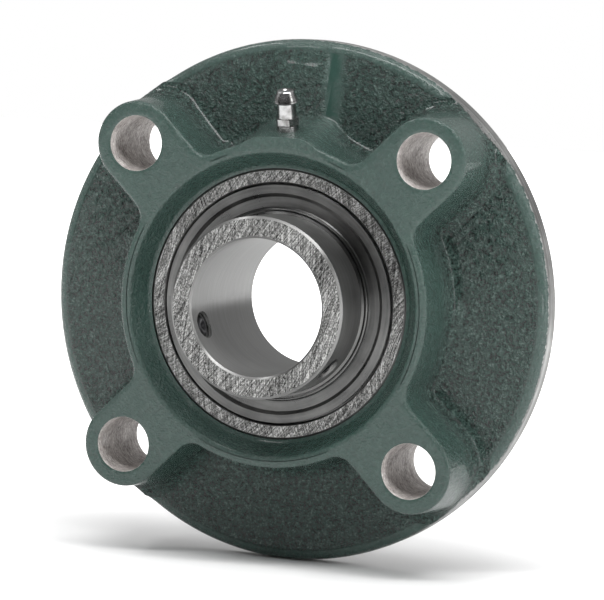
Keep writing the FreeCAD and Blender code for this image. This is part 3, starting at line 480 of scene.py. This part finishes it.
class Shell:
    """Collects rows of points into one mesh, with a grit value and a material per face."""

    def __init__(self):
        self.bm = bmesh.new()
        self.grit = self.bm.verts.layers.float.new("grit")

    def point(self, x, z, height, grit):
        vert = self.bm.verts.new((x * MM, -height * MM, z * MM))
        vert[self.grit] = grit
        return vert

    def strip(self, first, second, material, flip=False):
        count = len(first)
        for number in range(count):
            after = (number + 1) % count
            corners = [first[number], first[after], second[after], second[number]]
            if flip:
                corners.reverse()
            face = self.bm.faces.new(corners)
            face.material_index = material
            face.smooth = True

    def ring(self, radius, height, grit, steps=TURN_STEPS, centre=(0.0, 0.0)):
        row = []
        for step in range(steps):
            turn = 2 * math.pi * step / steps
            r = radius(turn) if callable(radius) else radius
            row.append(self.point(centre[0] + r * math.cos(turn), centre[1] + r * math.sin(turn),
                                  height, grit))
        return row

    def flat(self, loops, material):
        """Fill the plane between closed rows."""
        edges = []
        for loop in loops:
            for number, vert in enumerate(loop):
                after = loop[(number + 1) % len(loop)]
                edge = self.bm.edges.get((vert, after)) or self.bm.edges.new((vert, after))
                edges.append(edge)
        made = bmesh.ops.triangle_fill(self.bm, edges=edges, use_beauty=True)
        for face in made["geom"]:
            if isinstance(face, bmesh.types.BMFace):
                face.material_index = material
                face.smooth = True


def wall_profile():
    """Offset from the plateau outline and height, from the plateau down to the web."""
    rows = [(-1.9, PLATEAU), (-1.0, PLATEAU)]
    for step in range(1, 6):
        turn = math.radians(90 - 17 * step)
        rows.append((-1.0 + math.cos(turn), PLATEAU - 1.0 + math.sin(turn)))
    for step in range(1, 13):
        height = PLATEAU - 1.0 + (DRAFT_END - PLATEAU + 1.0) * step / 12
        rows.append(((PLATEAU - 1.0 - height) * WALL_DRAFT, height))
    foot = rows[-1][0]
    for step in range(1, 10):
        turn = math.radians(10 * step)
        rows.append((foot + FOOT_FILLET * (1 - math.cos(turn)), DRAFT_END - FOOT_FILLET * math.sin(turn)))
    return rows


def outside_rows(shell, outline):
    """Rows of points from the plateau over the walls and the web to the rim."""
    rows = []
    for offset, height in wall_profile():
        row = []
        foot_places = []
        for place, normal in outline:
            spot = place + normal * offset
            x, z = spot.x, with_nipple_pad(spot.x, spot.y, height)
            level = height
            if height < DRAFT_END:
                web = web_height(x, z)
                level = web + (height - WEB_FOOT) * (DRAFT_END - web) / FOOT_FILLET
            uneven = 0.0 if height > PLATEAU - 0.01 else sand(x, z, level, 0.22)
            x += normal.x * uneven
            z += normal.y * uneven
            radius = math.hypot(x, z)
            if radius > FLANGE_R:
                x *= FLANGE_R / radius
                z *= FLANGE_R / radius
            low_wall = 1.0 - smooth_step(8.6, 16.0, level)
            grit = SMOOTH_GRIT if height > PLATEAU - 0.2 else WALL_GRIT
            grit = grit + (FOOT_GRIT - grit) * low_wall * (1 - land_gloss(x, z))
            row.append(shell.point(x, z, level, grit))
            foot_places.append((x, z, level))
        rows.append(row)
    for step in range(1, WEB_STEPS + 1):
        share = step / WEB_STEPS
        row = []
        for x, z, level in foot_places:
            radius = math.hypot(x, z)
            edge = max(WEB_EDGE_R, radius)
            r = radius + (edge - radius) * share
            px, pz = x * r / radius, z * r / radius
            flat_share = smooth_step(0.0, 0.12, share)
            height = level + (web_height(px, pz) - level) * flat_share
            open_web = min((edge - radius) / 4.0, 1.0)
            gloss = land_gloss(px, pz)
            amount = (0.35 + 0.65 * smooth_step(0, 0.15, share)) * (1 - 0.6 * gloss) * open_web
            height += sand(px, pz, 0.0, amount) * open_web * (1.0 if step < WEB_STEPS else 0.5)
            grit = ROUGH_GRIT * (1 - 0.85 * gloss)
            row.append(shell.point(px, pz, height, grit))
        rows.append(row)
    places = [(v.co.x / MM, v.co.z / MM, -v.co.y / MM) for v in rows[-1]]
    for drop in (0.12, 0.25, 0.4, 0.55, 0.7, 0.85, 1.0):
        row = []
        for x, z, level in places:
            radius = math.hypot(x, z)
            r = radius + (FLANGE_R - radius) * math.sin(drop * math.pi / 2)
            height = level + (RIM_TOP - level) * (1 - math.cos(drop * math.pi / 2))
            row.append(shell.point(x * r / radius, z * r / radius, height, EDGE_GRIT))
        rows.append(row)
    return rows


def seat_opening(height):
    """Radius of the hole through the casting as a function of the angle, with loading slots."""
    if height > BEARING - 10 + 0.001:
        plain = math.sqrt(SEAT_R ** 2 - (height - BEARING) ** 2)
    else:
        plain = RECESS_FOOT_R + (BEARING - 10 - height) * SLOPE_BEHIND_SEAT

    def radius(turn):
        if height < BEARING and abs(math.sin(turn)) * SEAT_R < SLOT_HALF:
            return max(plain, SEAT_R)
        return plain
    return radius


def make_casting():
    shell = Shell()
    rows = outside_rows(shell, whole_outline())
    for number in range(len(rows) - 1):
        shell.strip(rows[number], rows[number + 1], PAINT)
    rim = rows[-1]
    previous = rim
    for height, radius in ((4.2, FLANGE_R), (2.4, FLANGE_R), (0.5, FLANGE_R), (0.0, FLANGE_R - 0.5)):
        row = []
        for vert in rim:
            x, z = vert.co.x / MM, vert.co.z / MM
            scale = radius / math.hypot(x, z)
            row.append(shell.point(x * scale, z * scale, height, 0.3))
        shell.strip(previous, row, TURNED)
        previous = row
    back_edge = previous

    hole_tops = []
    hole_backs = []
    for arm in range(4):
        turn = math.radians(45 + 90 * arm)
        centre = (BOLT_R * math.cos(turn), BOLT_R * math.sin(turn))
        profile = [(BOLT_HOLE_R + 0.9, PLATEAU), (BOLT_HOLE_R + 0.45, PLATEAU),
                   (BOLT_HOLE_R + 0.12, PLATEAU - 0.15), (BOLT_HOLE_R, PLATEAU - 0.5)]
        profile += [(BOLT_HOLE_R, PLATEAU - 0.5 - 2.5 * step) for step in range(1, 11)]
        profile += [(BOLT_HOLE_R + 0.3, 0.0)]
        loops = [shell.ring(r, w, SMOOTH_GRIT, HOLE_STEPS, centre) for r, w in profile]
        for number in range(len(loops) - 1):
            finish = PAINT if number < 2 else DRILLED
            shell.strip(loops[number], loops[number + 1], finish, flip=True)
        hole_tops.append(loops[0])
        hole_backs.append(loops[-1])

    recess = [(39.8, PLATEAU), (39.0, PLATEAU), (38.62, 25.85), (38.35, 25.5), (37.75, 24.6),
              (37.1, 23.6), (36.5, 22.7), (36.0, 22.0), (35.7, 21.5), (35.45, 21.3)]
    loops = [shell.ring(r, w, EDGE_GRIT) for r, w in recess]
    for number in range(len(loops) - 1):
        shell.strip(loops[number], loops[number + 1], PAINT, flip=True)
    plateau_inner = loops[0]
    previous = loops[-1]
    levels = [21.1, 20.5, 18.0, 15.0, BEARING + 0.01, BEARING - 0.01, 8.0, 5.0, 1.2, 0.9, -4.0]
    for level in levels:
        row = shell.ring(seat_opening(level), level, SMOOTH_GRIT)
        shell.strip(previous, row, PAINT if level > SEAT_PAINT_END else TURNED, flip=True)
        previous = row
    back = [(37.4, -SPIGOT_DEPTH), (SPIGOT_R - 0.8, -SPIGOT_DEPTH), (SPIGOT_R, -SPIGOT_DEPTH + 0.8),
            (SPIGOT_R, -4.0), (SPIGOT_R, -0.4), (SPIGOT_R + 0.1, 0.0), (SPIGOT_R + 0.9, 0.0)]
    for radius, level in back:
        row = shell.ring(radius, level, SMOOTH_GRIT)
        shell.strip(previous, row, TURNED, flip=True)
        previous = row
    shell.flat([rows[0], plateau_inner, *hole_tops], PAINT)
    shell.flat([back_edge, previous, *hole_backs], TURNED)

    bm = shell.bm
    bmesh.ops.remove_doubles(bm, verts=bm.verts, dist=2e-6)
    bmesh.ops.dissolve_degenerate(bm, edges=bm.edges, dist=1e-6)
    bmesh.ops.recalc_face_normals(bm, faces=bm.faces)
    for edge in bm.edges:
        if len(edge.link_faces) == 2 and edge.calc_face_angle(0.0) > math.radians(SHARP_EDGE_DEG):
            edge.smooth = False
    mesh = bpy.data.meshes.new("casting")
    bm.to_mesh(mesh)
    bm.free()
    for material in (paint_material(), turned_iron_material(), drilled_iron_material()):
        mesh.materials.append(material)
    casting = bpy.data.objects.new("casting", mesh)
    bpy.context.scene.collection.objects.link(casting)
    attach(casting, "housing")
    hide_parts("housing")


# ---------------------------------------------------------------------------
# Materials on the CAD pieces
# ---------------------------------------------------------------------------

def give_material(names, material):
    for name in names:
        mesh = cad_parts[name].data
        mesh.materials.clear()
        mesh.materials.append(material)


def dress_cad_pieces():
    numbered = [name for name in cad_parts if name.startswith("ball_")]
    give_material(["outer_ring", "inner_ring"], ground_steel_material())
    give_material(["slinger_front", "slinger_back"],
                  steel_material("slinger_steel", (0.07, 0.07, 0.07), (0.20, 0.20, 0.196), 0.2, 0.2, 0.4,
                                 900.0, 0.85))
    give_material(["seal_core_front", "seal_core_back"],
                  steel_material("seal_steel", (0.20, 0.20, 0.20), (0.32, 0.32, 0.32), 0.3, 0.2))
    give_material(["seal_lip_front", "seal_lip_back"], rubber_material())
    give_material(["cage_front", "cage_back", "cage_rivets"],
                  steel_material("cage_steel", (0.36, 0.36, 0.355), (0.56, 0.56, 0.55), 0.3, 0.2))
    give_material([*numbered, "nipple_ball"],
                  steel_material("ball_steel", (0.78, 0.78, 0.78), (0.86, 0.86, 0.86), 0.04, 0.05, 0.03))
    give_material(["set_screw_1", "set_screw_2"],
                  steel_material("screw_steel", (0.035, 0.035, 0.037), (0.10, 0.10, 0.105), 0.28, 0.2))
    give_material(["grease_nipple"], zinc_material())
    give_material(["nipple_spring"],
                  steel_material("spring_steel", (0.4, 0.4, 0.4), (0.6, 0.6, 0.6), 0.25, 0.2))


# ---------------------------------------------------------------------------
# Floor, light and camera
# ---------------------------------------------------------------------------

def make_floor():
    bm = bmesh.new()
    bmesh.ops.create_grid(bm, x_segments=1, y_segments=1, size=3.0)
    mesh = bpy.data.meshes.new("floor")
    bm.to_mesh(mesh)
    bm.free()
    floor = bpy.data.objects.new("floor", mesh)
    floor.location = (0, 0, -FLANGE_R * MM - 0.0002)
    bpy.context.scene.collection.objects.link(floor)
    nodes = Nodes("floor_white")
    coords = nodes.coords()
    grain = nodes.noise(coords, 20.0, 2.0)
    colour = nodes.ramp(grain, [(0.3, (0.90, 0.90, 0.90)), (0.7, (0.92, 0.92, 0.92))])
    away = nodes.add("ShaderNodeVectorMath", {0: coords}, operation="LENGTH").outputs["Value"]
    # Painted light and shadow: the floor glows, up to full white far off and not at all within 5 cm of
    # the middle, which paints a contact shadow under the unit.
    glow_and_painted_shadow = nodes.ramp(away, [(0.05, 0.0), (0.12, 0.40), (0.25, 0.72), (0.8, 1.0)])
    mesh.materials.append(nodes.set(Base_Color=colour, Roughness=0.6, Emission_Color=rgb(1, 1, 1),
                                    Emission_Strength=glow_and_painted_shadow))


def add_light(name, place, target, size, power):
    data = bpy.data.lights.new(name, "AREA")
    data.shape = "RECTANGLE"
    data.size, data.size_y = size
    data.energy = power
    light = bpy.data.objects.new(name, data)
    light.location = place
    light.rotation_euler = (Vector(target) - Vector(place)).to_track_quat("-Z", "Y").to_euler()
    bpy.context.scene.collection.objects.link(light)


# Brightness of the surround against the y part of the direction: -1 is in front of the unit.
SURROUND = ((-1.0, 0.015), (-0.48, 0.03), (-0.34, 0.9), (-0.10, 1.0), (0.04, 0.33), (1.0, 0.33))


def make_lights():
    """Softboxes round the sides and a white surround that is darker towards the camera."""
    add_light("top_box", (0.20, -0.34, 0.68), (0, 0, 0), (0.80, 0.12), 5.0)
    add_light("top_left_box", (-0.40, -0.12, 0.62), (0, 0, 0), (0.14, 0.09), 0.7)
    add_light("right_strip", (0.72, -0.20, 0.18), (0, 0, 0), (0.05, 0.50), 0.9)
    add_light("left_box", (-0.34, -0.72, 0.56), (0, 0, 0), (0.12, 0.10), 0.45)
    add_light("low_right", (0.45, -0.55, -0.02), (0, 0, 0), (0.08, 0.05), 0.1)
    world = bpy.data.worlds.new("studio")
    world.use_nodes = True
    tree = world.node_tree
    tree.nodes.clear()
    link = tree.links.new
    output = tree.nodes.new("ShaderNodeOutputWorld")
    mix = tree.nodes.new("ShaderNodeMixShader")
    seen = tree.nodes.new("ShaderNodeBackground")
    lit = tree.nodes.new("ShaderNodeBackground")
    path = tree.nodes.new("ShaderNodeLightPath")
    way = tree.nodes.new("ShaderNodeTexCoord")
    split = tree.nodes.new("ShaderNodeSeparateXYZ")
    depth = tree.nodes.new("ShaderNodeMapRange")
    band = tree.nodes.new("ShaderNodeValToRGB")
    upper = tree.nodes.new("ShaderNodeMapRange")
    level = tree.nodes.new("ShaderNodeMath")
    lean = tree.nodes.new("ShaderNodeMath")
    lean.operation = "MULTIPLY_ADD"
    lean.inputs[1].default_value = 0.5
    seen.inputs["Color"].default_value = (1, 1, 1, 1)
    seen.inputs["Strength"].default_value = 1.0
    link(way.outputs["Generated"], split.inputs[0])
    link(split.outputs[1], depth.inputs["Value"])
    depth.inputs["From Min"].default_value = -1.0
    while len(band.color_ramp.elements) < len(SURROUND):
        band.color_ramp.elements.new(0.5)
    for element, (place, strength) in zip(band.color_ramp.elements, SURROUND):
        element.position = (place + 1.0) / 2.0
        element.color = (strength, strength, strength, 1)
    link(depth.outputs["Result"], band.inputs[0])
    link(split.outputs[0], lean.inputs[0])
    link(split.outputs[2], lean.inputs[2])
    link(lean.outputs[0], upper.inputs["Value"])
    for key, number in (("From Min", -0.8), ("From Max", 0.8), ("To Min", 0.4), ("To Max", 2.6)):
        upper.inputs[key].default_value = number
    level.operation = "MULTIPLY"
    link(band.outputs["Color"], level.inputs[0])
    link(upper.outputs["Result"], level.inputs[1])
    link(level.outputs[0], lit.inputs["Strength"])
    link(path.outputs["Is Camera Ray"], mix.inputs[0])
    link(lit.outputs[0], mix.inputs[1])
    link(seen.outputs[0], mix.inputs[2])
    link(mix.outputs[0], output.inputs[0])
    bpy.context.scene.world = world
    bpy.context.scene.view_settings.view_transform = "Standard"


def make_camera():
    level = math.cos(CAMERA_ELEVATION)
    back = Vector((math.sin(CAMERA_AZIMUTH) * level, -math.cos(CAMERA_AZIMUTH) * level,
                   math.sin(CAMERA_ELEVATION)))
    right = Vector((math.cos(CAMERA_AZIMUTH), math.sin(CAMERA_AZIMUTH), 0))
    up = back.cross(right)
    tilted_right = right * math.cos(CAMERA_ROLL) + up * math.sin(CAMERA_ROLL)
    tilted_up = up * math.cos(CAMERA_ROLL) - right * math.sin(CAMERA_ROLL)
    turn = Matrix((tilted_right, tilted_up, back)).transposed()
    data = bpy.data.cameras.new("camera")
    data.lens = CAMERA_LENS
    data.sensor_width = CAMERA_SENSOR
    camera = bpy.data.objects.new("camera", data)
    camera.location = CAMERA_PLACE_M
    camera.rotation_euler = turn.to_euler()
    data.clip_start = 0.05
    data.clip_end = 20.0
    bpy.context.scene.collection.objects.link(camera)
    bpy.context.scene.camera = camera


make_camera()
make_casting()
dress_cad_pieces()
make_floor()
make_lights()
